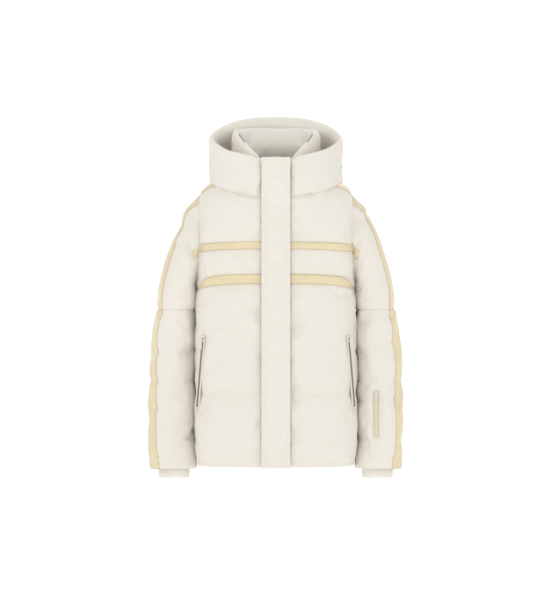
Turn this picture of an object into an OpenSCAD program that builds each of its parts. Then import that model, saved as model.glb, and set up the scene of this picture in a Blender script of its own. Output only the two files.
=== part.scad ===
/* [Body] */
// Height of the hem below the hanger loop
hem_drop = 710; // [690:1:730]
// Half width of the body at the hem
body_half = 191; // [188:1:192]
// Depth from the body's middle to the zip
front_depth = 120; // [116:1:124]
// Thickness of the padded shell
shell_wall = 12; // [10:1:13]
// Distance from the hanger loop forward to the body's middle
loop_to_middle = 51; // [48:1:51]

/* [Front opening] */
// Distance from the centre to the line where each front folds back
fold_x = 85; // [80:1:90]
// Width of the storm flap
flap_w = 70; // [64:1:74]
// Thickness of the storm flap
flap_t = 7; // [5:1:8]
// Height of the flap's top above the hanger loop
flap_top = 30; // [26:1:32]

/* [Tapes] */
// Thickness of the sewn-on tapes
tape_t = 1.2; // [0.8:0.1:1.6]
// Width of the upper chest tape
upper_tape_w = 18; // [14:1:20]
// Width of the lower chest tape
lower_tape_w = 22; // [18:1:24]
// Width of the tape down each sleeve
sleeve_tape_w = 24; // [20:1:28]

/* [Sleeves] */
// Height of the elbow below the hanger loop
elbow_drop = 336; // [330:1:345]
// Wall of the padded sleeve
sleeve_wall = 10; // [8:1:11]
// Height of the knit cuff's end below the hanger loop
cuff_drop = 736; // [730:1:740]

/* [Collar and hood] */
// Height of the collar's top above the hanger loop
collar_top = 102; // [96:1:104]
// Thickness of the padded collar
collar_wall = 20; // [16:1:22]
// Thickness of the padded hood
hood_wall = 14; // [10:1:16]

/* [Hidden] */

cream = [0.91, 0.89, 0.85];
champagne = [0.88, 0.81, 0.66];
knit = [0.92, 0.9, 0.85];
lining_white = [0.93, 0.92, 0.9];
metal = [0.35, 0.33, 0.31];

mid_y = -loop_to_middle;
front_y = mid_y - front_depth;
split_gap = 0.4;
// The free edges of the fronts stand back so that they pass each other as the fronts swing open
front_edge_x = 2;
collar_edge_x = 4;
hem_z = -hem_drop;
neck_z = -34;
body_power = 3;

// Half width of the body at a height
function body_w(z) = lookup(z, [[hem_z, body_half], [-450, 192], [-150, 187], [-78, 186], [-43, 130],
    [neck_z, 112]]);
// Depth of the back at a height
function back_d(z) = lookup(z, [[hem_z, 116], [-300, 122], [-150, 118], [-78, 100], [neck_z, 80]]);

// A point of a rounded ring: half width w, front depth df, back depth db, power p, angle a
function signed_pow(v, e) = sign(v) * pow(abs(v), e);
function ring_xy(w, df, db, p, a) = [w * signed_pow(cos(a), 2 / p), (sin(a) < 0 ? df : db) * signed_pow(sin(a), 2 / p)];
// The angle on the front half where the ring reaches a distance x from the centre
function front_angle(x, w, p) = -acos(pow(x / w, p / 2));
// The angle from the side seam where the ring is y in front of the middle
function side_angle(y, d, p) = asin(pow(y / d, p / 2));

function body_pt(a, z, inset) = let (q = ring_xy(body_w(z) - inset, front_depth - inset, back_d(z) - inset,
    body_power, a)) [q.x, mid_y + q.y, z];

// Half length along Y of the armhole at a height
armhole_mid = -172;
armhole_rise = 92;
armhole_half = 66;
function armhole(z) = let (k = (z - armhole_mid) / armhole_rise) abs(k) < 1 ? armhole_half * sqrt(1 - k * k) : 0;
function armhole_angle(z, side_d) = side_angle(armhole(z), side_d, body_power);

// A closed solid between an outer and an inner skin, each given as a function of u and v from 0 to 1.
// u runs counter-clockwise seen from above and v runs upwards; wrap closes u on itself.
module slab(nu, nv, outer, inner, wrap = false) {
    cols = wrap ? nu : nu + 1;
    count = cols * (nv + 1);
    at = function(i, j, side) side * count + j * cols + (i % cols);
    quad = function(a, b, c, d) [[a, b, c], [a, c, d]];
    skins = [for (j = [0:nv - 1]) for (i = [0:nu - 1]) for (side = [0, 1])
        each (side == 0
            ? quad(at(i, j, 0), at(i, j + 1, 0), at(i + 1, j + 1, 0), at(i + 1, j, 0))
            : quad(at(i, j, 1), at(i + 1, j, 1), at(i + 1, j + 1, 1), at(i, j + 1, 1)))];
    ends = [for (i = [0:nu - 1])
        each concat(quad(at(i, 0, 0), at(i + 1, 0, 0), at(i + 1, 0, 1), at(i, 0, 1)),
            quad(at(i, nv, 0), at(i, nv, 1), at(i + 1, nv, 1), at(i + 1, nv, 0)))];
    sides = wrap ? [] : [for (j = [0:nv - 1])
        each concat(quad(at(0, j, 0), at(0, j, 1), at(0, j + 1, 1), at(0, j + 1, 0)),
            quad(at(nu, j, 0), at(nu, j + 1, 0), at(nu, j + 1, 1), at(nu, j, 1)))];
    points = [for (skin = [outer, inner]) for (j = [0:nv]) for (i = [0:cols - 1]) skin(i / nu, j / nv)];
    polyhedron(points = points, faces = concat(skins, ends, sides), convexity = 8);
}

module left_and_mirror(right) {
    if (right) mirror([1, 0, 0]) children();
    else children();
}

function mix(a, b, t) = a + (b - a) * t;

// ---- body shell ----
function body_row(v) = mix(hem_z, neck_z, pow(v, 0.8));

module back_panel() {
    edge = function(z) armhole(z) > 0 ? armhole_angle(z, back_d(z)) : 0.4;
    skin = function(inset) function(u, v) let (z = body_row(v), a = edge(z)) body_pt(mix(a, 180 - a, u), z, inset);
    color(cream) slab(20, 18, skin(0), skin(shell_wall));
}

module side_panel(right) {
    edge = function(z) armhole(z) > 0 ? armhole_angle(z, front_depth) : 0.4;
    skin = function(inset) function(u, v) let (z = body_row(v),
        start = front_angle(fold_x + split_gap, body_w(z) - inset, body_power))
        body_pt(mix(start, -edge(z), u), z, inset);
    color(cream) left_and_mirror(right) slab(8, 18, skin(0), skin(shell_wall));
}

module front_edge(right) {
    skin = function(inset) function(u, v) let (z = body_row(v), w = body_w(z) - inset,
        x = mix(front_edge_x, fold_x - split_gap, u)) body_pt(front_angle(x, w, body_power), z, inset);
    color(cream) left_and_mirror(right) slab(5, 10, skin(0), skin(shell_wall));
}

facing_h = 30;
facing_gap = 0.5;
module hem_facing() {
    skin = function(inset) function(u, v) let (z = mix(hem_z + 2, hem_z + 2 + facing_h, v),
        start = front_angle(fold_x + 2, body_w(z) - inset, body_power))
        body_pt(mix(start, 180 - start, u), z, inset);
    color(lining_white) slab(24, 2, skin(shell_wall + facing_gap), skin(shell_wall + facing_gap + 1.5));
}

lining_top = -282;
module body_lining() {
    skin = function(inset) function(u, v) let (z = mix(hem_z + facing_h + 6, lining_top, v),
        start = front_angle(fold_x + 2, body_w(z) - inset, body_power))
        body_pt(mix(start, 180 - start, u), z, inset);
    color(lining_white) slab(24, 4, skin(shell_wall + 5), skin(shell_wall + 6.2));
}

skirt_bottom = -640;
skirt_top = -545;
skirt_inset = 20;
module powder_skirt() {
    skin = function(extra) function(u, v) let (z = mix(skirt_bottom, skirt_top, v), inset = mix(34, skirt_inset, v) + extra)
        body_pt(mix(-66, 246, u), z, inset);
    color(lining_white) slab(24, 3, skin(0), skin(1.5));
}

// ---- collar ----
collar_w = 109;
collar_d = 98;
collar_y = mid_y - 20;
collar_power = 2.3;
collar_base = neck_z + split_gap;
v_foot = 45;
v_slope = 1.1;
function collar_pt(a, z, inset) = let (q = ring_xy(collar_w - inset, collar_d - inset, collar_d - inset, collar_power, a))
    [q.x, collar_y + q.y, z];
// The collar lies open in a V: its top edge falls from the sides to the zip
function collar_edge(x) = min(collar_top, max(28, flap_top + (abs(x) - v_foot) * v_slope));

module collar_back() {
    skin = function(inset) function(u, v) let (w = collar_w - inset, start = front_angle(fold_x + split_gap, w, collar_power),
        a = mix(start, 180 - start, u), top = sin(a) > 0 ? collar_top : collar_edge(collar_pt(a, 0, inset).x))
        collar_pt(a, mix(collar_base, top, v), inset);
    color(cream) slab(24, 3, skin(0), skin(collar_wall));
}

module collar_front(right) {
    skin = function(inset) function(u, v) let (w = collar_w - inset,
        x = mix(collar_edge_x, fold_x - split_gap, u))
        collar_pt(front_angle(x, w, collar_power), mix(collar_base, collar_edge(x), v), inset);
    color(cream) left_and_mirror(right) slab(8, 3, skin(0), skin(collar_wall));
}

// ---- hanger loop: a stiff tape ring at the back of the neck ----
loop_r = 9;
loop_wall = 1.4;
loop_w = 10;
module hanger_loop() {
    back_wall = collar_y + collar_d - collar_wall;
    tab_end = back_wall - 0.4;
    color(champagne) difference() {
        union() {
            translate([0, loop_w / 2, 0]) rotate([90, 0, 0]) cylinder(r = loop_r + loop_wall, h = loop_w, $fn = 64);
            translate([-4, -loop_w / 2, loop_r + 0.3]) cube([8, tab_end + loop_w / 2, 6]);
        }
        translate([0, loop_w, 0]) rotate([90, 0, 0]) cylinder(r = loop_r, h = 2 * loop_w, $fn = 64);
    }
}

// ---- hand pockets ----
zip_head = [170, -402];
zip_foot = [184, -566];
function body_front_y(x, z) = body_pt(front_angle(x, body_w(z), body_power), z, 0).y;
head_y = body_front_y(zip_head.x, zip_head.y);
foot_y = body_front_y(zip_foot.x, zip_foot.y);
zip_run = [zip_foot.x - zip_head.x, foot_y - head_y, zip_foot.y - zip_head.y];
zip_length = norm(zip_run);

// Turns a frame that has -Z down the zip and -Y out of the jacket onto the slanted pocket opening
pocket_face = 50;
module on_pocket() {
    translate([zip_head.x, head_y, zip_head.y])
        rotate([0, -atan2(zip_run.x, -zip_run.z), 0])
        rotate([asin(zip_run.y / zip_length), 0, 0])
        rotate([0, 0, pocket_face]) translate([0, -pocket_lift, 0]) children();
}
pocket_lift = 3.9;

module hand_pocket_zip(right) {
    color(metal) left_and_mirror(right) on_pocket() translate([-2.5, -1, -zip_length]) cube([5, 2, zip_length]);
}

module pocket_welt(right) {
    color(cream) left_and_mirror(right) on_pocket() {
        for (side = [-1, 1]) translate([side * 5.5 - 1.8, -1.2, -zip_length]) cube([3.6, 2.4, zip_length]);
        for (end = [0.6, -zip_length - 4.6]) translate([-7.3, -1.2, end]) cube([14.6, 2.4, 4]);
    }
}

slider_l = 9;
module hand_slider(right) {
    color(metal) left_and_mirror(right) on_pocket() translate([-4, -3.2, -slider_l - 1]) cube([8, 1.7, slider_l]);
}

pull_l = 24;
pull_hinge = [0, -4.4, -3.5];
pull_pin_r = 0.6;
module pull_tab(len, wide) {
    rotate([0, 90, 0]) cylinder(r = pull_pin_r, h = wide, center = true, $fn = 24);
    translate([-wide / 2, -pull_pin_r, -len]) cube([wide, 2 * pull_pin_r, len]);
}
module hand_pull(right) {
    color(champagne) left_and_mirror(right) on_pocket() translate(pull_hinge) pull_tab(pull_l, 5);
}

bag_t = 3;
module pocket_bag(right) {
    skin = function(inset) function(u, v) let (z = mix(-600, -400, v), w = body_w(z) - inset)
        body_pt(front_angle(mix(100, 172, u), w, body_power), z, inset);
    color(lining_white) left_and_mirror(right) slab(6, 4, skin(shell_wall + 0.6), skin(shell_wall + 0.6 + bag_t));
}

// ---- chest tapes: two rows, their outer ends a little lower ----
tape_lift = 1;
upper_tape_z = -183;
lower_tape_z = -262;
tape_start_x = 38;
function tape_mid(row_z, x) = row_z - 7 * pow(x / body_half, 4) * (row_z == lower_tape_z ? 1.8 : 1);
module chest_row(row_z, wide, from_x, to_x) {
    skin = function(lift) function(u, v) let (x = mix(from_x, to_x, u), z = tape_mid(row_z, x) + mix(-wide / 2, wide / 2, v),
        w = body_w(z)) body_pt(front_angle(x, w, body_power), z, -lift);
    slab(8, 1, skin(tape_lift + tape_t), skin(tape_lift));
}
module chest_tapes(right) {
    color(champagne) left_and_mirror(right) {
        chest_row(upper_tape_z, upper_tape_w, fold_x + split_gap, 172);
        chest_row(lower_tape_z, lower_tape_w, fold_x + split_gap, 178);
    }
}
module front_tapes(right) {
    color(champagne) left_and_mirror(right) {
        chest_row(upper_tape_z, upper_tape_w, tape_start_x, fold_x - split_gap);
        chest_row(lower_tape_z, lower_tape_w, tape_start_x, fold_x - split_gap);
    }
}

// ---- shoulder tape: over the shoulder from the hood to the armhole ----
module shoulder_tape(right) {
    skin = function(lift) function(u, v) let (z = mix(-80, -50, u)) [body_w(z) + lift * 0.6,
        mid_y + mix(1, -1, v) * sleeve_tape_w / 2, z + lift];
    color(champagne) left_and_mirror(right) slab(6, 1, skin(2.6), skin(1.2));
}

// ---- hood: base round the neck, two front ends on the fronts, and a crown that lifts over the head ----
hood_w = 157;
hood_front = 146;
hood_back = 132;
hood_power = 2.4;
hood_low = -47;
hood_start_x = 46;
// The hood's front ends stop short of its base so that they clear it as the fronts swing open
hood_end_x = 74;
base_start_x = 92;
hood_axis_z = -20;
crown_w = 149;
crown_r = 190;
function hood_pt(a, z, inset) = let (q = ring_xy(hood_w - inset, hood_front - inset, hood_back - inset, hood_power, a))
    [q.x, mid_y + q.y, z];
function hood_rim(x) = lookup(abs(x), [[35, 30], [74, 31], [98, 43], [129, 58], [157, 76]]);
function hood_foot(x) = lookup(abs(x), [[35, -52], [129, -40], [157, -28]]);

module hood_base() {
    skin = function(inset) function(u, v) let (start = front_angle(base_start_x, hood_w - inset, hood_power),
        a = mix(start, 180 - start, u), x = hood_pt(a, 0, 0).x, behind = max(0, sin(a)),
        low = mix(hood_foot(x), -28, behind), top = mix(hood_rim(x), 20, behind))
        hood_pt(a, mix(low, top, v), inset);
    color(cream) slab(28, 4, skin(0), skin(hood_wall));
}
module hood_front_end(right) {
    skin = function(inset) function(u, v) let (x = mix(hood_start_x, hood_end_x, u))
        hood_pt(front_angle(x, hood_w - inset, hood_power), mix(hood_foot(x), hood_rim(x), v), inset);
    color(cream) left_and_mirror(right) slab(5, 4, skin(0), skin(hood_wall));
}
crown_low = -32;
crown_high = 52.5;
function crown_radius(x) = 118 + (crown_r - 118) * pow(1 - pow(abs(x) / (crown_w + 6), 3), 0.6);
function crown_pt(x, a, inset) = let (r = crown_radius(x) - inset) [x, mid_y + r * cos(a), hood_axis_z + r * sin(a)];
module crown_shell(outer, inner, half, low, high) {
    skin = function(inset) function(u, v) crown_pt(mix(half, -half, u), mix(low, high, v), inset);
    slab(20, 8, skin(outer), skin(inner));
}
module hood_crown() {
    color(cream) crown_shell(0, hood_wall, crown_w, crown_low, crown_high);
}
lining_gap = 2.5;
module hood_lining() {
    color(lining_white) crown_shell(hood_wall + lining_gap, hood_wall + lining_gap + 1.2, crown_w - 12,
        crown_low + 4, crown_high - 3);
}
module hood_studs() {
    color(metal) for (side = [-1, 1]) translate([side * (hood_w + 0.4), mid_y - 8, 6]) rotate([0, side * 90, 0])
        cylinder(r = 4, h = 1.6, $fn = 32);
}

// ---- main zip, storm flap and its press studs ----
zip_foot_z = hem_z + 6;
zip_top_z = 24;
teeth_w = 3.2;
teeth_t = 3;
tape_w = 12;
zip_plane = front_y - 2.4;
module main_zip(right) {
    color(metal) left_and_mirror(right) {
        translate([0.5, zip_plane - teeth_t / 2, zip_foot_z]) cube([teeth_w, teeth_t, zip_top_z - zip_foot_z]);
        translate([0.5 + teeth_w, zip_plane - 0.4, zip_foot_z]) cube([tape_w, 0.8, zip_top_z - zip_foot_z]);
    }
}

flap_gap = 9;
flap_back = front_y - flap_gap;
flap_edge_x = -flap_w / 2;
module storm_flap() {
    color(cream) translate([flap_edge_x, flap_back - flap_t, hem_z]) cube([flap_w, flap_t, flap_top + hem_drop]);
}

stud_count = 6;
stud_x = 27;
socket_r = 6.5;
socket_t = 2.2;
function stud_z(i) = mix(-30, hem_z + 50, i / (stud_count - 1));
module flap_snap_sockets() {
    color(metal) for (i = [0:stud_count - 1]) translate([stud_x, front_y - 0.4, stud_z(i)]) rotate([90, 0, 0])
        difference() {
            cylinder(r = socket_r, h = socket_t, $fn = 48);
            translate([0, 0, -1]) cylinder(r = 3.2, h = socket_t + 2, $fn = 48);
        }
}
module flap_snap_studs() {
    reach = flap_gap - socket_t;
    color(metal) for (i = [0:stud_count - 1]) translate([stud_x, flap_back, stud_z(i)]) rotate([-90, 0, 0]) {
        cylinder(r = socket_r, h = reach - 1.4, $fn = 48);
        cylinder(r = 2.6, h = reach + 0.8, $fn = 48);
    }
}

plate_t = 1.2;
slider_gap = 0.4;
slider_top = zip_top_z;
main_slider_l = 14;
plate_y = zip_plane - teeth_t / 2 - slider_gap - plate_t;
module main_slider() {
    color(metal) {
        translate([-6, plate_y, slider_top - main_slider_l]) cube([12, plate_t, main_slider_l]);
        translate([-0.2, plate_y + plate_t, slider_top - 3]) cube([0.4, teeth_t + 2 * slider_gap, 3]);
    }
}
main_pull_z = slider_top - 3;
module main_pull() {
    color(champagne) translate([0, plate_y - pull_pin_r - 0.2, main_pull_z]) pull_tab(26, 5);
}

// ---- sleeves ----
arm_x = 194;
shoulder_cut = -88;
function arm_outer(z) = lookup(z, [[-712, 306], [-586, 304], [-485, 304], [-398, 295], [-336, 286], [-269, 273],
    [-211, 259], [-154, 242], [-125, 230], [-106, 221], [shoulder_cut, 208]]);
function arm_inner(z) = lookup(z, [[-712, 192.5], [-670, 196], [-600, 197], [elbow_z, 195], [-150, arm_x], [shoulder_cut, arm_x]]);
function arm_depth(z) = lookup(z, [[-712, 50], [-500, 60], [elbow_z, 64], [-200, 74], [-130, 60], [shoulder_cut, 30]]);
elbow_z = -elbow_drop;
elbow_y = mid_y - 24;
arm_power = 2.2;
function arm_pt(a, z, inset) = let (half = (arm_outer(z) - arm_inner(z)) / 2 - inset,
    q = ring_xy(half, arm_depth(z) - inset, arm_depth(z) - inset, arm_power, a))
    [(arm_outer(z) + arm_inner(z)) / 2 + q.x, mid_y + q.y, z];
// Gap cut round the elbow so that the forearm can fold forward
elbow_half = 37.5;
function elbow_cut(a, z0, side) = let (y = arm_pt(a, elbow_z, 0).y - elbow_y) z0 + side * (2 + max(0, -y) * tan(elbow_half + 2));

module sleeve_upper(right) {
    // The inner side stays open at the armhole
    open_half = function(v) v > 0.42 ? 62 * min(1, (v - 0.42) / 0.12) : 2;
    skin = function(inset) function(u, v) let (a = mix(180 + open_half(v), 540 - open_half(v), u),
        low = elbow_cut(a, elbow_z, 1)) arm_pt(a, mix(low, shoulder_cut - inset * 0.6, pow(v, 0.85)), inset);
    color(cream) left_and_mirror(right) slab(20, 10, skin(0), skin(sleeve_wall));
}
lower_end = -712;
module sleeve_lower(right) {
    skin = function(inset) function(u, v) let (a = 360 * u)
        arm_pt(a, mix(lower_end, elbow_cut(a, elbow_z, -1), v), inset);
    color(cream) left_and_mirror(right) slab(24, 8, skin(0), skin(sleeve_wall), wrap = true);
}
arm_tape_lift = 2.4;
module arm_tape(z_low, z_high) {
    half_angle = function(z) asin(min(0.9, sleeve_tape_w / 2 / arm_depth(z)));
    skin = function(lift) function(u, v) let (z = mix(z_low, z_high, v)) arm_pt(mix(-half_angle(z), half_angle(z), u), z, -lift);
    slab(4, 12, skin(arm_tape_lift + tape_t), skin(arm_tape_lift));
}
module sleeve_tape_upper(right) {
    color(champagne) left_and_mirror(right) arm_tape(elbow_z + 6, shoulder_cut - 14);
}
module sleeve_tape_lower(right) {
    color(champagne) left_and_mirror(right) arm_tape(lower_end + 2, elbow_z - 6);
}

cuff_mid = 244;
cuff_half = 37.5;
cuff_depth = 34;
cuff_top = -668;
module knit_cuff(right) {
    skin = function(inset) function(u, v) let (a = 360 * u, q = ring_xy(cuff_half - inset, cuff_depth - inset,
        cuff_depth - inset, 2, a))
        [cuff_mid + q.x, mid_y + q.y, mix(-cuff_drop, cuff_top, v)];
    color(knit) left_and_mirror(right) slab(20, 2, skin(0), skin(3), wrap = true);
}

// ---- lift-pass pocket on the wearer's left forearm ----
pass_x = 239;
pass_top = -530;
pass_low = -640;
function pass_y(z) = let (half = (arm_outer(z) - arm_inner(z)) / 2, mid = (arm_outer(z) + arm_inner(z)) / 2)
    arm_pt(-acos(pow(abs(pass_x - mid) / half, arm_power / 2)), z, 0).y;
pass_tilt = atan((pass_y(pass_low) - pass_y(pass_top)) / (pass_top - pass_low));
module on_pass() {
    translate([pass_x, pass_y(pass_top) - 1.9, pass_top]) rotate([pass_tilt, 0, 0]) children();
}
module pass_pocket_zip() {
    color(champagne) on_pass() translate([-5, -1, pass_low - pass_top]) cube([10, 2, pass_top - pass_low]);
}
pass_bag_back = 23;
module pass_pocket_bag() {
    color(lining_white) on_pass() translate([-16, pass_bag_back, pass_low - pass_top - 10])
        cube([44, 2.4, 90]);
}
module pass_slider() {
    color(metal) on_pass() translate([-4, -3.2, -slider_l - 1]) cube([8, 1.8, slider_l]);
}
module pass_pull() {
    color(champagne) on_pass() translate(pull_hinge) pull_tab(20, 5);
}

back_panel();
side_panel(false);  // side_panel_left
side_panel(true);  // side_panel_right
hem_facing();
body_lining();
powder_skirt();
collar_back();
hanger_loop();
pocket_bag(false);  // pocket_bag_left
pocket_bag(true);  // pocket_bag_right
hand_pocket_zip(false);  // hand_pocket_zip_left
hand_pocket_zip(true);  // hand_pocket_zip_right
pocket_welt(false);  // pocket_welt_left
pocket_welt(true);  // pocket_welt_right
chest_tapes(false);  // chest_tapes_left
chest_tapes(true);  // chest_tapes_right
shoulder_tape(false);  // shoulder_tape_left
shoulder_tape(true);  // shoulder_tape_right
hood_base();
hood_studs();
front_edge(false);  // front_edge_left
front_edge(true);  // front_edge_right
collar_front(false);  // collar_front_left
collar_front(true);  // collar_front_right
hood_front_end(false);  // hood_front_left
hood_front_end(true);  // hood_front_right
main_zip(false);  // main_zip_left
main_zip(true);  // main_zip_right
front_tapes(false);  // front_tapes_left
front_tapes(true);  // front_tapes_right
flap_snap_sockets();
storm_flap();
flap_snap_studs();
main_slider();
main_pull();
hood_crown();
hood_lining();
hand_slider(false);  // hand_slider_left
hand_slider(true);  // hand_slider_right
hand_pull(false);  // hand_pull_left
hand_pull(true);  // hand_pull_right
sleeve_upper(false);  // sleeve_upper_left
sleeve_upper(true);  // sleeve_upper_right
sleeve_tape_upper(false);  // sleeve_tape_upper_left
sleeve_tape_upper(true);  // sleeve_tape_upper_right
sleeve_lower(false);  // sleeve_lower_left
sleeve_lower(true);  // sleeve_lower_right
sleeve_tape_lower(false);  // sleeve_tape_lower_left
sleeve_tape_lower(true);  // sleeve_tape_lower_right
knit_cuff(false);  // knit_cuff_left
knit_cuff(true);  // knit_cuff_right
pass_pocket_zip();
pass_pocket_bag();
pass_slider();
pass_pull();
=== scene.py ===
import bpy
import bmesh
from math import sin, cos, pi, sqrt, asin, acos, copysign
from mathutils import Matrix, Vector, noise
from mathutils.bvhtree import BVHTree


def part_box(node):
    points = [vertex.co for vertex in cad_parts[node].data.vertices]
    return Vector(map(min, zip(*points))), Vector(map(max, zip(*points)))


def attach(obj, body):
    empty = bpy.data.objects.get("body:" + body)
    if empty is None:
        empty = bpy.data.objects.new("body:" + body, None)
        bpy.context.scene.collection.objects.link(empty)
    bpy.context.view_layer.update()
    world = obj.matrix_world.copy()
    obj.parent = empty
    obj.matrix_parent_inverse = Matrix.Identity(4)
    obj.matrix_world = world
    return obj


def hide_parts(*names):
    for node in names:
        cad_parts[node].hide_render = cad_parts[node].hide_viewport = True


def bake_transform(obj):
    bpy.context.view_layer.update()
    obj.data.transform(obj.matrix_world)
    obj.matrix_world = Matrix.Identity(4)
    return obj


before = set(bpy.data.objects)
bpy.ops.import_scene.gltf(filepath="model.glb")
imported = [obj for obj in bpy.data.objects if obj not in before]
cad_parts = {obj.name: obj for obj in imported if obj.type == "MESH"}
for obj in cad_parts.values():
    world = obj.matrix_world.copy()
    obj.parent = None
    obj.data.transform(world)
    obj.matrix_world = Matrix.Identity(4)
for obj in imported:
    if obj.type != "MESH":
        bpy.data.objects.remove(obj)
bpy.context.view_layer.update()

# where things are, taken from the frame
cuffLow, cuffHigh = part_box("knit_cuff_left")
backLow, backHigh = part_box("back_panel")
flapLow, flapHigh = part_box("storm_flap")
midY = (cuffLow[1] + cuffHigh[1]) / 2
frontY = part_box("front_edge_left")[0][1]
hemZ = backLow[2]
neckZ = backHigh[2]
bodyHalf = backHigh[0]
frontDepth = midY - frontY
flapHalf = flapHigh[0]
elbowZ = -0.336

# camera, light and floor
studio = {"frameHeight": 1.4256, "lens": 200, "aimX": -0.002, "aimZ": -0.305, "world": 0.84,
          "floorZ": -1.02, "floorReach": 9.5, "curb": 1.5, "wall": 2.0,
          "paper": 0.93, "paperRough": 0.9, "paperGlow": 0.24,
          "softboxes": [("keyLight", (-1.1, -2.6, 1.9), (0, 0, -0.3), (1.6, 1.6), 15),
                        ("fillLight", (2.0, -2.4, 0.5), (0, 0, -0.35), (1.8, 2.2), 5),
                        ("backLight", (0.3, 2.4, 2.0), (0, 0, -0.3), (2.4, 1.6), 22)]}


def makeStudio(s):
    cam = bpy.data.objects.new("camera", bpy.data.cameras.new("camera"))
    bpy.context.scene.collection.objects.link(cam)
    cam.data.lens = s["lens"]
    distance = s["frameHeight"] * s["lens"] / cam.data.sensor_width
    cam.location = (s["aimX"], midY - distance, s["aimZ"])
    cam.rotation_euler = (pi / 2, 0, 0)
    cam.data.clip_end = 60
    bpy.context.scene.camera = cam

    world = bpy.data.worlds.new("studio")
    bpy.context.scene.world = world
    world.use_nodes = True
    sky = world.node_tree.nodes["Background"].inputs
    sky[0].default_value = (1, 1, 1, 1)
    sky[1].default_value = s["world"]

    for name, place, aim, size, power in s["softboxes"]:
        lamp = bpy.data.lights.new(name, "AREA")
        lamp.shape = "RECTANGLE"
        lamp.size, lamp.size_y = size
        lamp.energy = power
        box = bpy.data.objects.new(name, lamp)
        box.location = place
        box.rotation_euler = (Vector(aim) - Vector(place)).to_track_quat("-Z", "Y").to_euler()
        bpy.context.scene.collection.objects.link(box)

    bm = bmesh.new()
    bmesh.ops.create_grid(bm, x_segments=64, y_segments=29, size=0.5)
    curb = s["curb"] * pi / 2
    for v in bm.verts:      # a round floor that sweeps up into a backdrop on every side
        turn = -2 * pi * (v.co.x + 0.5)
        run = (v.co.y + 0.5) * (s["floorReach"] + curb + s["wall"])
        bend = min(max(run - s["floorReach"], 0) / s["curb"], pi / 2)
        reach = min(run, s["floorReach"]) + s["curb"] * sin(bend)
        rise = s["curb"] * (1 - cos(bend)) + max(run - s["floorReach"] - curb, 0)
        v.co = Vector((reach * cos(turn), reach * sin(turn), s["floorZ"] + rise))
    bmesh.ops.remove_doubles(bm, verts=bm.verts, dist=0.001)
    for f in bm.faces:
        f.smooth = True
    mesh = bpy.data.meshes.new("floor")
    bm.to_mesh(mesh)
    floor = bpy.data.objects.new("floor", mesh)
    bpy.context.scene.collection.objects.link(floor)
    paper = bpy.data.materials.new("paper")
    paper.use_nodes = True
    for socket, value in (("Base Color", (s["paper"], s["paper"], s["paper"], 1)), ("Roughness", s["paperRough"]),
                          ("Emission Color", (1, 1, 1, 1)), ("Emission Strength", s["paperGlow"])):
        paper.node_tree.nodes["Principled BSDF"].inputs[socket].default_value = value
    mesh.materials.append(paper)


bpy.context.scene.view_settings.view_transform = "Standard"
makeStudio(studio)
print("studio ready")


# small tools
def mix(a, b, t):
    return a + (b - a) * t


def smooth(a, b, x):
    t = min(max((x - a) / (b - a), 0), 1)
    return t * t * (3 - 2 * t)


def fromTable(x, table):
    # straight lines between (x, value) pairs in rising order
    if x <= table[0][0]:
        return table[0][1]
    for (x0, y0), (x1, y1) in zip(table, table[1:]):
        if x <= x1:
            return mix(y0, y1, (x - x0) / (x1 - x0))
    return table[-1][1]


def softTable(x, table):
    # the same with rounded corners
    w = 0.012
    return sum(fromTable(x + k * w, table) for k in (-1.5, -0.75, 0, 0.75, 1.5)) / 5


def signedPow(v, e):
    return copysign(abs(v) ** e, v)


def ringPoint(w, df, db, power, a):
    return w * signedPow(cos(a), 2 / power), (df if sin(a) < 0 else db) * signedPow(sin(a), 2 / power)


def evenPoints(curve, a0, a1, count, samples=96):
    # count + 1 points along curve(a), an even distance apart
    raw = [Vector(curve(mix(a0, a1, k / samples))) for k in range(samples + 1)]
    run = [0]
    for p, q in zip(raw, raw[1:]):
        run.append(run[-1] + (q - p).length)
    out = []
    k = 0
    for i in range(count + 1):
        want = run[-1] * i / count
        while k < samples - 1 and run[k + 1] < want:
            k += 1
        step = run[k + 1] - run[k]
        out.append(raw[k].lerp(raw[k + 1], (want - run[k]) / step if step else 0))
    return out


def newPiece(name, bm, material):
    mesh = bpy.data.meshes.new(name)
    bm.to_mesh(mesh)
    bm.free()
    mesh.materials.append(material)
    piece = bpy.data.objects.new(name, mesh)
    bpy.context.scene.collection.objects.link(piece)
    return piece


def addWall(piece, thick, offset):
    wall = piece.modifiers.new("wall", "SOLIDIFY")
    wall.thickness = thick
    wall.offset = offset
    return wall


def addRound(piece):
    soft = piece.modifiers.new("round", "SUBSURF")
    soft.levels = soft.render_levels = 1


def pinAll(i, j):
    return 1.0


clothPieces = []        # what inflate() blows up all together
sewing = {"frames": 22, "quality": 6, "mass": 0.12, "tension": 18, "compression": 12, "shear": 6,
          "grain": 21, "grainDepth": 0.0012, "merge": 2e-4}


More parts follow.
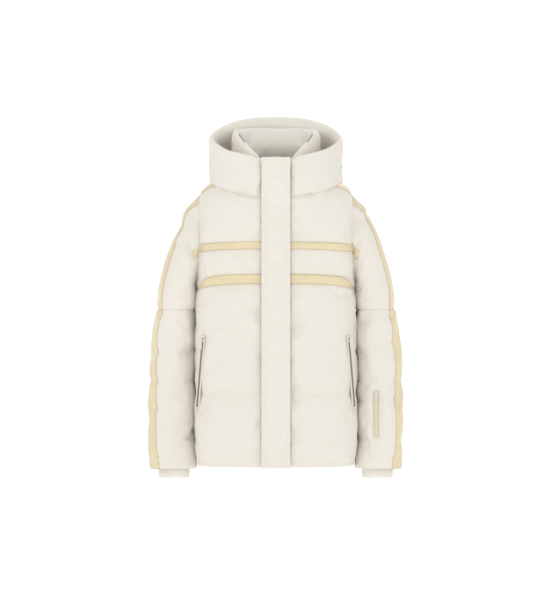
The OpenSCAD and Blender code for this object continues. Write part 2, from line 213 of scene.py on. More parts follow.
def gridPiece(name, rows, material, closed=False, pins=None, mirrored=False, sew=None, seed=0.0):
    # rows of points, bottom to top, each anticlockwise seen from above; pins(i, j) says what is stitched down
    down = len(rows) - 1
    across = len(rows[0]) - 1
    bm = bmesh.new()
    bmesh.ops.create_grid(bm, x_segments=across, y_segments=down, size=0.5)
    pinLayer = bm.verts.layers.float.new("pin")
    uv = bm.loops.layers.uv.new("UVMap")
    for v in bm.verts:
        i = round((v.co.x + 0.5) * across)
        j = round((v.co.y + 0.5) * down)
        for loop in v.link_loops:
            loop[uv].uv = (i / across, j / down)
        p = rows[j][i]
        v[pinLayer] = pins(i, j) if pins else 0
        drift = noise.noise_vector(p * sewing["grain"] + Vector((seed, seed * 2, 3)))
        v.co = p + drift * sewing["grainDepth"] * (1 - v[pinLayer])
    if closed:
        bmesh.ops.remove_doubles(bm, verts=bm.verts, dist=sewing["merge"])
    if mirrored:
        bmesh.ops.scale(bm, vec=(-1, 1, 1), verts=bm.verts)
        bmesh.ops.reverse_faces(bm, faces=bm.faces)
    for f in bm.faces:
        f.smooth = True
    piece = newPiece(name, bm, material)
    if sew:
        stitched = piece.vertex_groups.new(name="stitched")
        for k, d in enumerate(piece.data.attributes["pin"].data):
            if d.value > 0:
                stitched.add([k], d.value, "REPLACE")
        clothPieces.append((piece, sew))
    return piece


def inflate():
    # every padded panel is blown up between its stitching in one go
    scene = bpy.context.scene
    rest = {}
    for piece, s in clothPieces:
        rest[piece.name] = [v.co.copy() for v in piece.data.vertices]
        cloth = piece.modifiers.new("cloth", "CLOTH")
        cloth.settings.quality = sewing["quality"]
        cloth.settings.mass = sewing["mass"]
        cloth.settings.tension_stiffness = sewing["tension"]
        cloth.settings.compression_stiffness = sewing["compression"]
        cloth.settings.shear_stiffness = sewing["shear"]
        cloth.settings.bending_stiffness = s["bend"]
        cloth.settings.vertex_group_mass = "stitched"
        cloth.settings.use_pressure = True
        cloth.settings.uniform_pressure_force = s["pressure"]
        cloth.settings.shrink_min = -s["slack"]
        cloth.settings.effector_weights.gravity = 0
        cloth.collision_settings.use_collision = False
        cloth.point_cache.frame_start = 1
        cloth.point_cache.frame_end = sewing["frames"] + 2
    for f in range(1, sewing["frames"]):
        scene.frame_set(f)
    deps = bpy.context.evaluated_depsgraph_get()
    for piece, s in clothPieces:
        blown = piece.evaluated_get(deps).to_mesh()
        after = [v.co.copy() for v in blown.vertices]
        piece.evaluated_get(deps).to_mesh_clear()
        far = 0
        for v, a, b in zip(piece.data.vertices, rest[piece.name], after):
            move = b - a
            if move.length > s["cap"]:
                move *= s["cap"] / move.length
            far = max(far, move.length)
            v.co = a + move
        piece.modifiers.clear()
        print("  inflated", piece.name, "most", round(far * 1000, 1), "mm")
    scene.frame_set(1)


# materials
def addNode(tree, kind, inputs=None, **choices):
    node = tree.nodes.new("ShaderNode" + kind)
    for key, value in choices.items():
        setattr(node, key, value)
    for key, value in (inputs or {}).items():
        node.inputs[key].default_value = value
    return node


def newGroup(name, inputs, outputs):
    group = bpy.data.node_groups.new(name, "ShaderNodeTree")
    for label, kind, value in inputs:
        group.interface.new_socket(label, in_out="INPUT", socket_type=kind).default_value = value
    for label in outputs:
        group.interface.new_socket(label, in_out="OUTPUT", socket_type="NodeSocketFloat")
    return group, group.nodes.new("NodeGroupInput"), group.nodes.new("NodeGroupOutput")


def weaveGroup():
    # crossed threads, as a height
    g, given, result = newGroup("threads", [("Vector", "NodeSocketVector", (0, 0, 0)),
                                            ("Across", "NodeSocketFloat", 900), ("Up", "NodeSocketFloat", 900)],
                                ["Height"])
    link = g.links.new
    split = addNode(g, "SeparateXYZ")
    cross = addNode(g, "Math", operation="MULTIPLY")
    link(given.outputs["Vector"], split.inputs[0])
    for k, (axis, count) in enumerate(((0, "Across"), (2, "Up"))):
        side = addNode(g, "Math", {1: 0}, operation="ADD")
        times = addNode(g, "Math", operation="MULTIPLY")
        wave = addNode(g, "Math", operation="SINE")
        link(split.outputs[axis], side.inputs[0])
        if axis == 0:       # these threads follow the depth as well, so that the sides are woven too
            link(split.outputs[1], side.inputs[1])
        link(side.outputs[0], times.inputs[0])
        link(given.outputs[count], times.inputs[1])
        link(times.outputs[0], wave.inputs[0])
        link(wave.outputs[0], cross.inputs[k])
    link(cross.outputs[0], result.inputs["Height"])
    return g


def creaseGroup():
    # soft creases in a light woven cloth, stretched along one way
    g, given, result = newGroup("creases", [("Vector", "NodeSocketVector", (0, 0, 0)),
                                            ("Scale", "NodeSocketFloat", 18)], ["Height", "Tone"])
    link = g.links.new
    flat = addNode(g, "Mapping", {"Scale": (1.0, 1.0, 0.55)})
    big = addNode(g, "TexNoise", {"Detail": 4, "Roughness": 0.55, "Distortion": 0.6})
    tone = addNode(g, "TexNoise", {"Scale": 6, "Detail": 2})
    link(given.outputs["Vector"], flat.inputs["Vector"])
    link(flat.outputs[0], big.inputs["Vector"])
    link(given.outputs["Scale"], big.inputs["Scale"])
    link(given.outputs["Vector"], tone.inputs["Vector"])
    link(big.outputs["Fac"], result.inputs["Height"])
    link(tone.outputs["Fac"], result.inputs["Tone"])
    return g


threads = weaveGroup()
creases = creaseGroup()


def newMaterial(name):
    mat = bpy.data.materials.new(name)
    mat.use_nodes = True
    return mat, mat.node_tree, mat.node_tree.nodes["Principled BSDF"], mat.node_tree.links.new


def shadeBetween(tree, skin, s, share):
    # the colour and its deeper neighbour, mixed by share
    shade = addNode(tree, "Mix", {6: (*s["colour"], 1), 7: (*s["deep"], 1)}, data_type="RGBA")
    tree.links.new(share, shade.inputs[0])
    tree.links.new(shade.outputs[2], skin.inputs["Base Color"])


def clothMaterial(name, s):
    mat, tree, skin, link = newMaterial(name)
    place = addNode(tree, "TexCoord")
    weave = addNode(tree, "Group", {"Across": s["threads"], "Up": s["threads"]}, node_tree=threads)
    crease = addNode(tree, "Group", {"Scale": s["creaseScale"]}, node_tree=creases)
    low = addNode(tree, "Bump", {"Strength": s["creaseDepth"], "Distance": 0.004})
    fine = addNode(tree, "Bump", {"Strength": s["weaveDepth"], "Distance": 0.0002})
    link(place.outputs["Object"], weave.inputs["Vector"])
    link(place.outputs["Object"], crease.inputs["Vector"])
    shadeBetween(tree, skin, s, crease.outputs["Tone"])
    link(crease.outputs["Height"], low.inputs["Height"])
    link(weave.outputs["Height"], fine.inputs["Height"])
    link(low.outputs[0], fine.inputs["Normal"])
    link(fine.outputs[0], skin.inputs["Normal"])
    for socket, value in (("Roughness", s["rough"]), ("Sheen Weight", s["sheen"]), ("Sheen Roughness", 0.5),
                          ("Specular IOR Level", s.get("gloss", 0.25)), ("Metallic", s.get("metal", 0))):
        skin.inputs[socket].default_value = value
    return mat


shellCloth = clothMaterial("shellCloth", {"colour": (0.775, 0.737, 0.665), "deep": (0.740, 0.700, 0.625),
                                          "threads": 5200, "creaseScale": 16, "creaseDepth": 0.25,
                                          "weaveDepth": 0.25, "rough": 0.62, "sheen": 0.12})
satinTape = clothMaterial("satinTape", {"colour": (0.77, 0.67, 0.45), "deep": (0.68, 0.57, 0.36), "threads": 7000,
                                        "creaseScale": 55, "creaseDepth": 0.5, "weaveDepth": 0.2, "rough": 0.34,
                                        "sheen": 0.1, "gloss": 0.6, "metal": 0.25})
liningCloth = clothMaterial("liningCloth", {"colour": (0.78, 0.74, 0.68), "deep": (0.72, 0.67, 0.60), "threads": 6000,
                                            "creaseScale": 26, "creaseDepth": 0.3, "weaveDepth": 0.2, "rough": 0.5,
                                            "sheen": 0.1})


# body
body = {"power": [(-0.15, 3), (-0.10, 2.7), (-0.06, 2.2), (neckZ, 2)], "rowHeight": 0.0062, "columnWidth": 0.0062,
        "halfWidth": [(hemZ, bodyHalf - 0.004), (-0.62, bodyHalf), (-0.30, bodyHalf - 0.003), (-0.20, 0.1945),
                      (-0.12, 0.195), (-0.085, 0.194), (-0.052, 0.186), (-0.043, 0.172), (neckZ, 0.152)],
        "backDepth": [(hemZ, 0.112), (-0.62, 0.119), (-0.30, 0.122), (-0.15, 0.118), (-0.078, 0.100), (neckZ, 0.080)],
        "hemSeam": -0.709, "waistSeam": -0.534, "lowerTape": (-0.274, -0.251), "upperTape": (-0.192, -0.1745),
        "tapeDrop": [(-0.55, 0), (-0.42, 0.004), (-0.285, 0.014), (-0.24, 0.012), (-0.19, 0.008), (-0.10, 0)],
        "puff": 0.0065, "pinDepth": 0.0025, "openX": 0.0025, "edgeColumns": 5, "edgeTuck": 0.0015,
        "flapTuck": 0.0045, "flapEdge": (0.014, 0.003), "flapFade": (0.045, 0.13)}
armhole = {"mid": -0.158, "rise": 0.106, "half": 0.066, "tuckX": 0.0025, "tuckY": 0.012}
pocket = {"top": Vector((0.170, -0.131, -0.402)), "bottom": Vector((0.184, -0.109, -0.566)), "sink": 0.0022,
          "reach": 0.030}


def armholeHalf(z):
    k = (z - armhole["mid"]) / armhole["rise"]
    return armhole["half"] * sqrt(1 - k * k) if abs(k) < 1 else 0.0


channel = {"reach": 0.05, "round": 0.7, "narrow": 0.6}      # how padding swells away from its seams


def seamSpread(z, seams):
    # 0 on a seam, 1 in the middle of a padded channel
    reach = channel["reach"]
    for low, high in zip(seams, seams[1:]):
        if low <= z <= high:
            half = (high - low) / 2
            edge = min(z - low, high - z, reach)
            swell = sin(pi / 2 * min(edge / min(half, reach), 1)) ** channel["round"]
            return swell * min(half / reach, 1) ** channel["narrow"]
    return 0.0


def bodyCurve(z, out):
    w = softTable(z, body["halfWidth"]) + out
    back = softTable(z, body["backDepth"]) + out
    power = bodyPower(z)
    return lambda a: (lambda q: (q[0], midY + q[1], z))(ringPoint(w, frontDepth + out, back, power, a))


def edgeAngle(z, depth):
    return (armholeHalf(z) / depth) ** (bodyPower(z) / 2) if armholeHalf(z) > 0 else 0.0


def bodyPower(z):
    return fromTable(z, body["power"])


def rowsBetween(seams, step):
    # heights that land on every seam, about a step apart
    out = []
    for low, high in zip(seams, seams[1:]):
        n = max(2, round((high - low) / step))
        out += [mix(low, high, k / n) for k in range(n)]
    return out + [seams[-1]]


def nearLine(p, a, b):
    # how far p is from the line between a and b
    run = b - a
    t = min(max((p - a).dot(run) / run.length_squared, 0), 1)
    return (p - a - run * t).length


def tapeShift(x, z):
    return (abs(x) / bodyHalf) ** 4 * fromTable(z, body["tapeDrop"])


def shellRows(side, seams, across):
    rows = []
    for z in rowsBetween(seams, body["rowHeight"]):
        puff = seamSpread(z, seams) * body["puff"] - body["pinDepth"]
        curve = bodyCurve(z, 0)
        if side == "front":
            w = softTable(z, body["halfWidth"])
            start = -pi / 2 + asin(min(1, (body["openX"] / w) ** (bodyPower(z) / 2)))
            end = -asin(min(1, edgeAngle(z, frontDepth)))
        else:
            start = asin(min(1, edgeAngle(z, softTable(z, body["backDepth"]))))
            end = pi - start
        points = evenPoints(curve, start, end, across)
        outRow = []
        for i, p in enumerate(points):
            a = points[max(i - 1, 0)]
            b = points[min(i + 1, across)]
            normal = Vector((b.y - a.y, a.x - b.x, 0))
            normal.normalize()
            hold = min(min(i, across - i) / body["edgeColumns"], 1)
            if side == "front":
                hold = min((across - i) / body["edgeColumns"], 1)
                hold *= smooth(flapHalf - body["flapEdge"][0], flapHalf, p.x)
            q = p + normal * (puff * smooth(0, 1, hold) - body["edgeTuck"] * (1 - hold))
            if side == "front":
                under = smooth(flapHalf - body["flapEdge"][0], flapHalf - body["flapEdge"][1], p.x)
                q.y -= body["flapTuck"] * under * (1 - smooth(*body["flapFade"], p.x))
                q.z -= tapeShift(q.x, z)
                beside = nearLine(q, pocket["top"], pocket["bottom"])
                q -= normal * (pocket["sink"] * (1 - smooth(0.002, pocket["reach"], beside)))
            outRow.append(q)
        rows.append(outRow)
    return rows


frontSeams = [hemZ + 0.001, body["hemSeam"] + 0.012, body["waistSeam"], *body["lowerTape"], *body["upperTape"], neckZ]
backSeams = [hemZ + 0.001, body["hemSeam"] + 0.012, body["waistSeam"], -0.262, -0.150, neckZ]
sewnFront = {"pressure": 0.8, "slack": 0.022, "cap": 0.006, "bend": 0.4}
heights = rowsBetween(frontSeams, body["rowHeight"])
pinnedFront = {min(range(len(heights)), key=lambda j: abs(heights[j] - s)) for s in frontSeams}
backHeights = rowsBetween(backSeams, body["rowHeight"])
pinnedBack = {min(range(len(backHeights)), key=lambda j: abs(backHeights[j] - s)) for s in backSeams}

frontAcross = 42
backAcross = 80
frontRows = shellRows("front", frontSeams, frontAcross)
fronts = {}
for side, flip, seed in (("left", False, 0.3), ("right", True, 4.1)):
    fronts[side] = gridPiece(f"front_{side}_padding", frontRows, shellCloth, mirrored=flip, seed=seed, sew=sewnFront,
                             pins=lambda i, j: 1.0 if j in pinnedFront or i in (0, frontAcross)
                             or frontRows[j][i].x < flapHalf - 0.007 else
                             1 - smooth(0.006, 0.022, nearLine(frontRows[j][i], pocket["top"], pocket["bottom"])))
backRows = shellRows("back", backSeams, backAcross)
backPiece = gridPiece("back_padding", backRows, shellCloth, seed=7.7, sew=sewnFront,
                      pins=lambda i, j: 1.0 if j in pinnedBack or i in (0, backAcross) else 0.0)
print("body cut")


# sleeves
sleeve = {"outer": [(-0.716, 0.3045), (-0.68, 0.3035), (-0.586, 0.302), (-0.520, 0.3015), (-0.506, 0.3005),
                    (-0.485, 0.3005), (-0.427, 0.295), (-0.370, 0.288), (-0.336, 0.2835), (-0.283, 0.277),
                    (-0.240, 0.267), (-0.197, 0.2555), (-0.168, 0.246), (-0.139, 0.234), (-0.110, 0.223),
                    (-0.096, 0.217), (-0.082, 0.210), (-0.067, 0.199), (-0.052, 0.186)],
          "inner": [(-0.716, 0.187), (-0.66, 0.1935), (-0.586, 0.192), (-0.485, 0.195), (-0.384, 0.195),
                    (-0.300, 0.191), (-0.264, 0.189)],
          "depth": [(-0.716, 0.050), (-0.60, 0.058), (-0.50, 0.062), (-0.336, 0.068), (-0.20, 0.074), (-0.08, 0.066)],
          "seams": [-0.716, -0.703, -0.506, elbowZ + 0.003], "power": 2.0, "around": 72, "rows": 50,
          "rowHeight": 0.0062, "puff": 0.0035, "pinDepth": 0.0015}
passLine = {"top": Vector((0.239, -0.1082, -0.528)), "bottom": Vector((0.239, -0.1032, -0.642)), "reach": 0.024}


def upperRing(t):
    # from the armhole (0) to the elbow seam (1): outer point, inner point and half depth of the ring
    ease = t ** 0.9
    outerZ = mix(armhole["mid"] + armhole["rise"], elbowZ, t)
    innerZ = mix(armhole["mid"] - armhole["rise"], elbowZ, ease)
    outer = Vector((softTable(outerZ, sleeve["outer"]), midY, outerZ))
    inner = Vector((softTable(innerZ, sleeve["inner"]), midY, innerZ))
    return outer, inner, mix(armhole["half"], softTable(elbowZ, sleeve["depth"]), smooth(0, 0.5, t))


def ringPoints(outer, inner, depth, out, count, power):
    centre = (outer + inner) / 2
    reach = (outer - inner) / 2
    reach *= 1 + out / reach.length

    def curve(a):
        side = Vector((0, (depth + out) * signedPow(sin(a), 2 / power), 0))
        return centre + reach * signedPow(cos(a), 2 / power) + side

    return evenPoints(curve, pi, 3 * pi, count)     # the seam runs down the inside


def armholeEdge(count):
    # the body's own edge round the armhole, so that the sleeve meets it
    turned = []
    for k in range(count * 3 + 1):
        a = pi + 2 * pi * k / (count * 3)
        z = armhole["mid"] + armhole["rise"] * cos(a)
        rows, levels, end = (frontRows, heights, -1) if sin(a) < 0 else (backRows, backHeights, 0)
        k0 = max(i for i in range(len(levels)) if levels[i] <= z + 1e-6)
        k1 = min(k0 + 1, len(levels) - 1)
        share = (z - levels[k0]) / (levels[k1] - levels[k0]) if k1 > k0 else 0
        turned.append(rows[k0][end].lerp(rows[k1][end], share))
    run = [0]
    for p, q in zip(turned, turned[1:]):
        run.append(run[-1] + (q - p).length)
    out = []
    for i in range(count + 1):
        want = run[-1] * i / count
        k = max(j for j in range(len(run) - 1) if run[j] <= want + 1e-9)
        out.append(turned[k].lerp(turned[k + 1], (want - run[k]) / max(run[k + 1] - run[k], 1e-9)))
    out[-1] = out[0].copy()
    return [Vector((p.x - armhole["tuckX"], mix(p.y, midY, armhole["tuckY"]), p.z)) for p in out]      # just inside


sleeveEdge = armholeEdge(sleeve["around"])
sleeveRowsUp = []
upCount = sleeve["rows"]
for k in range(upCount + 1):
    t = 1 - k / upCount
    outer, inner, depth = upperRing(t)
    away = min(t, 1 - t) * 0.27
    fade = sin(pi / 2 * min(away / channel["reach"], 1)) ** channel["round"]
    puff = fade * sleeve["puff"] * (0.35 + 0.65 * smooth(0.0, 0.3, t)) - sleeve["pinDepth"] * smooth(0.7, 1, t)
    ring = ringPoints(outer, inner, depth, puff, sleeve["around"], sleeve["power"])
    join = 1 - smooth(0, 0.15, t)
    sleeveRowsUp.append([p.lerp(q, join) for p, q in zip(ring, sleeveEdge)])
lowHeights = rowsBetween(sleeve["seams"], sleeve["rowHeight"])
sleeveRowsLow = []
for z in lowHeights:
    outer = Vector((softTable(z, sleeve["outer"]), midY, z))
    inner = Vector((softTable(z, sleeve["inner"]), midY, z))
    puff = seamSpread(z, sleeve["seams"]) * sleeve["puff"] - sleeve["pinDepth"]
    depth = softTable(z, sleeve["depth"])
    sleeveRowsLow.append(ringPoints(outer, inner, depth, puff, sleeve["around"], sleeve["power"]))
middle = lowHeights.index(min(lowHeights, key=lambda z: abs(z - sleeve["seams"][2])))
hemRow = lowHeights.index(min(lowHeights, key=lambda z: abs(z - sleeve["seams"][1])))


def besidePass(p):
    # how far a point of the left forearm's front is from the small pocket's zip
    return nearLine(Vector((p.x, 0, p.z)), passLine["top"] * Vector((1, 0, 1)), passLine["bottom"] * Vector((1, 0, 1)))


def sunkForPass(p):
    if p.y > midY:
        return p
    t = min(max((p.z - passLine["bottom"].z) / (passLine["top"].z - passLine["bottom"].z), 0), 1)
    level = mix(passLine["bottom"].y, passLine["top"].y, t)
    return Vector((p.x, mix(level, p.y, smooth(0.005, passLine["reach"], besidePass(p))), p.z))


sleeveRowsPass = [[sunkForPass(p) for p in row] for row in sleeveRowsLow]
sewnSleeve = {"pressure": 0.8, "slack": 0.028, "cap": 0.006, "bend": 0.35}
sleeves = {}
for side, flip, seed in (("left", False, 1.3), ("right", True, 5.9)):
    upper = gridPiece(f"sleeve_upper_{side}_padding", sleeveRowsUp, shellCloth, closed=True, mirrored=flip, seed=seed,
                      sew=sewnSleeve, pins=lambda i, j: 1.0 if j in (0, upCount) else 0.0)
    lowRows = sleeveRowsLow if flip else sleeveRowsPass
    lower = gridPiece(f"sleeve_lower_{side}_padding", lowRows, shellCloth, closed=True, mirrored=flip, seed=seed + 1,
                      sew=sewnSleeve, pins=lambda i, j: 1.0 if j in (0, hemRow, middle, len(lowHeights) - 1) else
                      0.0 if flip or lowRows[j][i].y > midY else 1 - smooth(0.009, 0.020, besidePass(lowRows[j][i])))
    sleeves[side] = (upper, lower)
print("sleeves cut")


# hood and collar
# Each is a padded roll that runs round the neck. A profile lists its points from the outer foot over the top
# to the inner foot: half width at the side, depth at the front, depth at the back, height at front, side and back.
hood = {"power": 2.4, "centreY": midY,
        "profile": [(0.124, 0.1275, 0.084, -0.074, -0.046, -0.046), (0.155, 0.137, 0.160, -0.056, -0.037, -0.118),
                    (0.1565, 0.1425, 0.188, -0.020, -0.008, -0.062), (0.158, 0.141, 0.188, 0.010, 0.038, 0.045),
                    (0.160, 0.137, 0.150, 0.026, 0.070, 0.122), (0.153, 0.129, 0.127, 0.028, 0.076, 0.134),
                    (0.143, 0.124, 0.104, 0.018, 0.060, 0.106), (0.140, 0.122, 0.152, 0.000, 0.030, 0.020),
                    (0.118, 0.118, 0.104, -0.035, -0.02, -0.03)],
        "rim": [(0.035, 0.025), (0.078, 0.032), (0.098, 0.039), (0.120, 0.046), (0.133, 0.055), (0.160, 0.074)],
        "steps": 58, "frontColumns": 34, "backColumns": 96, "flat": 0.05, "footRow": 3}
collar = {"power": 2.3, "centreY": midY - 0.020,
          "profile": [(0.102, 0.094, 0.092, -0.040, -0.040, -0.040), (0.1055, 0.097, 0.098, 0.0, 0.0, 0.0),
                      (0.1065, 0.098, 0.099, 0.05, 0.05, 0.05), (0.104, 0.096, 0.095, 0.086, 0.084, 0.088),
                      (0.094, 0.087, 0.084, 0.101, 0.099, 0.103), (0.082, 0.076, 0.066, 0.088, 0.086, 0.090),
                      (0.074, 0.070, 0.048, 0.048, 0.048, 0.056), (0.080, 0.074, 0.062, -0.005, -0.005, 0.018),
                      (0.092, 0.084, 0.080, -0.040, -0.040, -0.040)],
          "steps": 44, "frontColumns": 30, "backColumns": 60, "flat": 0.05}


def throughPoints(points, t):
    # a smooth curve through the points, t from 0 to 1
    n = len(points) - 1
    k = min(int(t * n), n - 1)
    f = t * n - k
    p0, p1 = points[max(k - 1, 0)], points[k]
    p2, p3 = points[k + 1], points[min(k + 2, n)]
    square = 2 * p0 - 5 * p1 + 4 * p2 - p3
    cube = 3 * p1 - p0 - 3 * p2 + p3
    return 0.5 * ((2 * p1) + (p2 - p0) * f + square * f * f + cube * f ** 3)


def rollPoint(s, row, a):
    w, df, db, zf, zs, zb = row
    x, y = ringPoint(w, df, db, s["power"], a)
    lean = abs(sin(a)) ** 1.2
    return Vector((x, s["centreY"] + y, mix(zs, zf if sin(a) < 0 else zb, lean)))


def rollColumns(s, angles, pinch, height):
    # one column of points for each angle; pinch(a) closes the roll flat at its ends
    columns = []
    for a in angles:
        p = [height(a, k, rollPoint(s, row, a)) for k, row in enumerate(s["profile"])]
        openness = pinch(a)
        last = len(p) - 1
        half = last // 2
        for k in range(half + 1, last + 1):     # the inner side folds onto the outer side
            partner = p[last - k]
            inward = (p[k] - partner)
            inward.z = 0
            lift = inward.normalized() * 0.004 if inward.length > 0 else inward
            p[k] = (partner + lift).lerp(p[k], openness)
        columns.append(evenPoints(lambda t: throughPoints(p, t), 0, 1, s["steps"], samples=200))
    return columns


def rollPiece(name, s, a0, a1, count, pinch, height, pins, sew, seed, mirrored=False):
    # angles run anticlockwise, so the rows rise from the outer foot
    ring = evenPoints(lambda a: rollPoint(s, s["profile"][2], a), a0, a1, count)
    out = []
    for p in ring:      # the angle that gives each evenly placed column
        best = min(range(401), key=lambda k: (rollPoint(s, s["profile"][2], mix(a0, a1, k / 400)) - p).length_squared)
        out.append(mix(a0, a1, best / 400))
    out[0], out[-1] = a0, a1
    columns = rollColumns(s, out, pinch, height)
    rows = [[columns[i][j] for i in range(count + 1)] for j in range(s["steps"] + 1)]
    return gridPiece(name, rows, shellCloth, pins=pins, sew=sew, seed=seed, mirrored=mirrored)


def frontAngle(x, s, k=2):
    return -acos((x / s["profile"][k][0]) ** (s["power"] / 2))


def hoodHeight(a, k, p):
    # the front rim climbs from the flap to the sides
    if sin(a) < 0 and 3 <= k <= 6:
        rim = softTable(abs(p.x), hood["rim"])
        share = {3: 0.45, 4: 1.0, 5: 1.0, 6: 0.9}[k]
        p = p.copy()
        p.z = mix(p.z, rim + {3: -0.03, 4: -0.002, 5: 0.001, 6: -0.010}[k], share * smooth(0, 0.25, -sin(a)))
    if sin(a) < 0 and k <= 5:       # the ends tuck in behind the storm flap
        p = p.copy()
        p.y = mix(p.y, max(p.y, flapHigh[1] + 0.003), 1 - smooth(flapHalf - 0.002, flapHalf + 0.014, p.x))
    return p


vFoot, vSlope = 0.037, 1.18      # where the collar's V starts, and how steeply it opens


def collarHeight(a, k, p):
    if sin(a) < 0:
        p = p.copy()
        top = 0.026 + (abs(p.x) - vFoot) * vSlope if abs(p.x) > vFoot else 0.022
        top = min(0.100, max(0.012, top))
        p.z = -0.040 + (p.z + 0.040) * (top + 0.040) / 0.141
    return p


sewnHood = {"pressure": 0.8, "slack": 0.018, "cap": 0.005, "bend": 0.5}
sewnCollar = {"pressure": 0.9, "slack": 0.008, "cap": 0.004, "bend": 0.5}
hoodEdgeX = flapHalf - 0.006
sideSeam = frontAngle(0.152, hood)
hoodPieces = {}
hoodStart = frontAngle(hoodEdgeX, hood)
collarStart = frontAngle(0.004, collar)


def rollPins(held, last):
    # stitched down along the held rows and at both ends
    return lambda i, j: 1.0 if j in held or i in (0, last) else 0.0


hoodHeld = (0, hood["footRow"], hood["steps"])
collarHeld = (0, collar["steps"])
for side, flip, seed in (("left", False, 2.2), ("right", True, 8.8)):
    hoodPieces[side] = rollPiece(f"hood_front_{side}_padding", hood, hoodStart, sideSeam, hood["frontColumns"],
                                 lambda a: mix(hood["flat"], 1, smooth(hoodStart, hoodStart + 0.16, a)), hoodHeight,
                                 rollPins(hoodHeld, hood["frontColumns"]), sewnHood, seed, mirrored=flip)
hoodBack = rollPiece("hood_crown_padding", hood, sideSeam, pi - sideSeam, hood["backColumns"], lambda a: 1.0,
                     hoodHeight, rollPins(hoodHeld, hood["backColumns"]), sewnHood, 3.3)

collarPieces = {}
for side, flip, seed in (("left", False, 6.1), ("right", True, 9.4)):
    collarPieces[side] = rollPiece(f"collar_front_{side}_padding", collar, collarStart, 0, collar["frontColumns"],
                                   lambda a: mix(collar["flat"], 1, smooth(collarStart + 0.05, collarStart + 0.30, a)),
                                   collarHeight, rollPins(collarHeld, collar["frontColumns"]), sewnCollar, seed,
                                   mirrored=flip)
collarPieces["back"] = rollPiece("collar_back_padding", collar, 0, pi, collar["backColumns"], lambda a: 1.0,
                                 collarHeight, rollPins(collarHeld, collar["backColumns"]), sewnCollar, 3.9)
print("hood and collar cut")


# storm flap
flap = {"rowHeight": 0.007, "puff": 0.0022, "rise": 0.0012, "thick": 0.006, "seams": (0.0035, 0.009), "inner": 0.012}
flapTop = flapHigh[2] - 0.004
flapSeams = [flapLow[2], flapLow[2] + 0.010, flapTop - 0.007, flapTop]
flapHeights = rowsBetween(flapSeams, flap["rowHeight"])
outerSeam, innerSeam = flap["seams"]
flapAt = [-flapHalf, -flapHalf + outerSeam, -flapHalf + innerSeam]
flapAt += [mix(-flapHalf + flap["inner"], flapHalf - innerSeam, k / 9) for k in range(10)]
flapAt += [flapHalf - outerSeam, flapHalf]
flapRows = []
for z in flapHeights:
    row = []
    for x in flapAt:
        edge = min(flapHalf - abs(x), z - flapLow[2], flapTop - z)
        swell = flap["puff"] * smooth(0.006, 0.02, edge)
        swell += flap["rise"] * smooth(0, 0.004, edge) * (1 - smooth(0.004, 0.008, edge))
        row.append(Vector((x, flapLow[1] + 0.001 - swell, z)))
    flapRows.append(row)
flapPiece = gridPiece("storm_flap_padding", flapRows, shellCloth, seed=2.7,
                      sew={"pressure": 0.5, "slack": 0.012, "cap": 0.002, "bend": 0.8},
                      pins=lambda i, j: 1.0 if i in (0, 1, 2, len(flapAt) - 3, len(flapAt) - 2, len(flapAt) - 1)
                      or j in (0, 1, len(flapRows) - 1) else 0.0)
print("flap cut")

inflate()
print("padding inflated")


# finishing the padded pieces
def pad(piece, thick, inner):
    piece.data.materials.append(inner)
    addWall(piece, thick, -1).material_offset = 1
    addRound(piece)


for piece in (fronts["left"], fronts["right"], backPiece, *sleeves["left"], *sleeves["right"]):
    pad(piece, 0.004, liningCloth)
for piece in (hoodPieces["left"], hoodPieces["right"], hoodBack):
    pad(piece, 0.003, shellCloth)
for piece in collarPieces.values():
    pad(piece, 0.003, shellCloth)
pad(flapPiece, flap["thick"] - flap["puff"], shellCloth)


def surfaceOf(piece):
    return BVHTree.FromObject(piece, bpy.context.evaluated_depsgraph_get())


above, reach = 0.03, 0.07       # how far off the cloth a point is dropped from, and how far it may fall


def lay(tree, p, n, lift, flip=False):
    # where a point of trim lands on the cloth below it
    if flip:
        p, n = Vector((-p.x, p.y, p.z)), Vector((-n.x, n.y, n.z))
    hit = tree.ray_cast(p + n * above, -n, reach)[0]
    q = (hit if hit else p) + n * lift
    return Vector((-q.x, q.y, q.z)) if flip else q


def thinStrip(name, rows, material, thick, mirrored=False):
    piece = gridPiece(name, rows, material, mirrored=mirrored, pins=pinAll)
    addWall(piece, thick, 1)
    return piece


# stitches
stitch = {"length": 0.0031, "pitch": 0.0042, "width": 0.00055, "height": 0.00035}


def stitchPiece(name, runs, s, material):
    # each run is a list of (point, normal); a small eight-sided thread is laid at every pitch
    bm = bmesh.new()
    for run in runs:
        left = s["pitch"] / 2
        for (p, n), (q, _) in zip(run, run[1:]):
            step = q - p
            size = step.length
            at = left
            while at < size:
                d = step / size
                side = d.cross(n).normalized() * s["width"] / 2
                c = p + step * (at / size)
                ends = [bm.verts.new(c + d * s["length"] / 2), bm.verts.new(c - d * s["length"] / 2)]
                ring = [bm.verts.new(c + v) for v in (side, n * s["height"], -side, -n * s["height"])]
                for k in range(4):
                    bm.faces.new((ends[0], ring[k], ring[(k + 1) % 4]))
                    bm.faces.new((ends[1], ring[(k + 1) % 4], ring[k]))
                at += s["pitch"]
            left = at - size
    bmesh.ops.recalc_face_normals(bm, faces=bm.faces)
    piece = newPiece(name, bm, material)
    return piece


threadCream = clothMaterial("threadCream", {"colour": (0.74, 0.70, 0.62), "deep": (0.66, 0.61, 0.53), "threads": 9000,
                                            "creaseScale": 300, "creaseDepth": 0.2, "weaveDepth": 0.3, "rough": 0.5,
                                            "sheen": 0.1})
threadGold = clothMaterial("threadGold", {"colour": (0.70, 0.57, 0.33), "deep": (0.58, 0.45, 0.24), "threads": 9000,
                                          "creaseScale": 300, "creaseDepth": 0.2, "weaveDepth": 0.3, "rough": 0.45,
                                          "sheen": 0.1})


